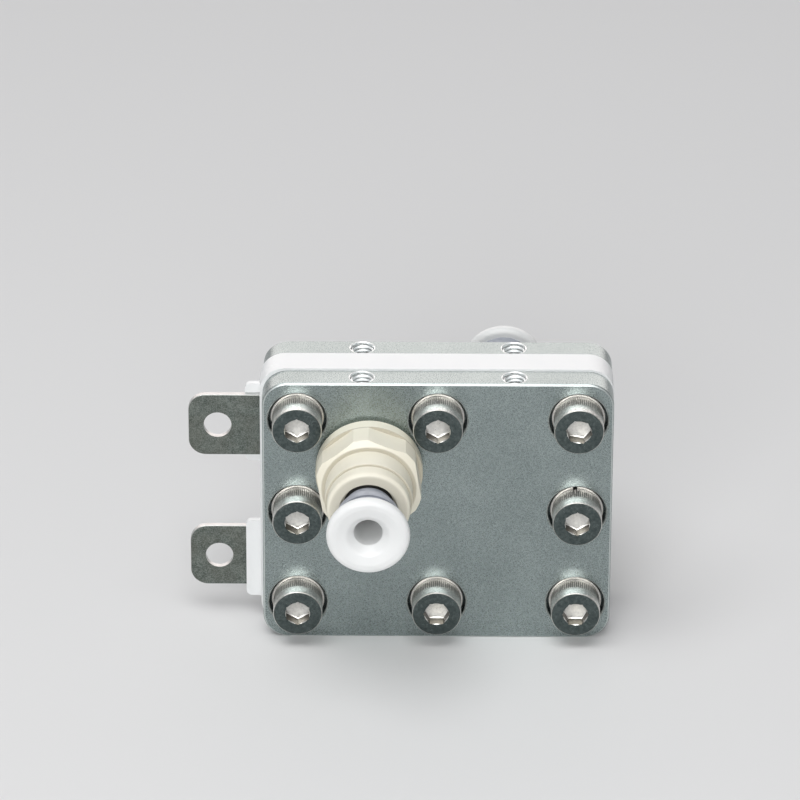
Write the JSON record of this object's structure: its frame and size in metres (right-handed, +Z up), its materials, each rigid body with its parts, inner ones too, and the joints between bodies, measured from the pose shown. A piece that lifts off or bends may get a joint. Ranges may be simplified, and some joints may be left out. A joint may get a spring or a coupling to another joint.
{
  "type": "pem electrolyzer cell",
  "caption": "Small water electrolysis cell: metal end plates clamp white frames and titanium electrode plates with side tabs, and a push-in tube fitting stands on each face.",
  "frame": {"origin": "middle of the underside of the clamped stack, in the plane that the plates stand on", "axes": "+X right along the plates' width as seen from the front, +Y from the front face to the rear, +Z up"},
  "size_m": [0.0729, 0.0636, 0.0503],
  "materials": {
    "blasted_aluminium": "bead blasted and clear anodised, fine even grain, brighter bevelled edges",
    "white_plastic": "machined white polymer sheet, satin",
    "titanium": "dark satin titanium sheet with bright sheared edges",
    "membrane_film": "coated ion exchange film, dull black",
    "porous_titanium": "sintered fibre felt, rough",
    "carbon_felt": "fine carbon fibre paper, matt",
    "seal_rubber": "moulded black rubber, dull",
    "screw_steel": "bright stainless steel, knurled head",
    "washer_steel": "bright stainless spring steel",
    "ivory_plastic": "moulded ivory polymer, smooth semi gloss",
    "grey_plastic": "moulded blue grey polymer, smooth",
    "button_plastic": "moulded white polymer, smooth semi gloss"
  },
  "bodies": {
    "cell": {"front_end_plate": "blasted_aluminium", "rear_end_plate": "blasted_aluminium", "front_insulator_frame": "white_plastic", "rear_insulator_frame": "white_plastic", "membrane_frame": "white_plastic", "front_electrode_plate": "titanium", "rear_electrode_plate": "titanium", "membrane": "membrane_film", "membrane_gasket": "seal_rubber", "front_porous_layer": "porous_titanium", "rear_porous_layer": "carbon_felt", "cap_screws": "screw_steel", "spring_washers": "washer_steel", "front_fitting_body": "ivory_plastic", "front_fitting_cap": "ivory_plastic", "front_port_seal": "seal_rubber", "front_tube_seal": "seal_rubber", "rear_fitting_body": "ivory_plastic", "rear_fitting_cap": "ivory_plastic", "rear_port_seal": "seal_rubber", "rear_tube_seal": "seal_rubber"},
    "front_collet": {"front_release_sleeve": "grey_plastic", "front_release_button": "button_plastic"},
    "rear_collet": {"rear_release_sleeve": "grey_plastic", "rear_release_button": "button_plastic"}
  },
  "joints": [
    {"name": "front_collet_slide", "type": "slide", "parent": "cell", "child": "front_collet", "axis": [0, 1, 0], "range_m": [0, 0.0015]},
    {"name": "rear_collet_slide", "type": "slide", "parent": "cell", "child": "rear_collet", "axis": [0, 1, 0], "range_m": [0, 0.002]}
  ]
}
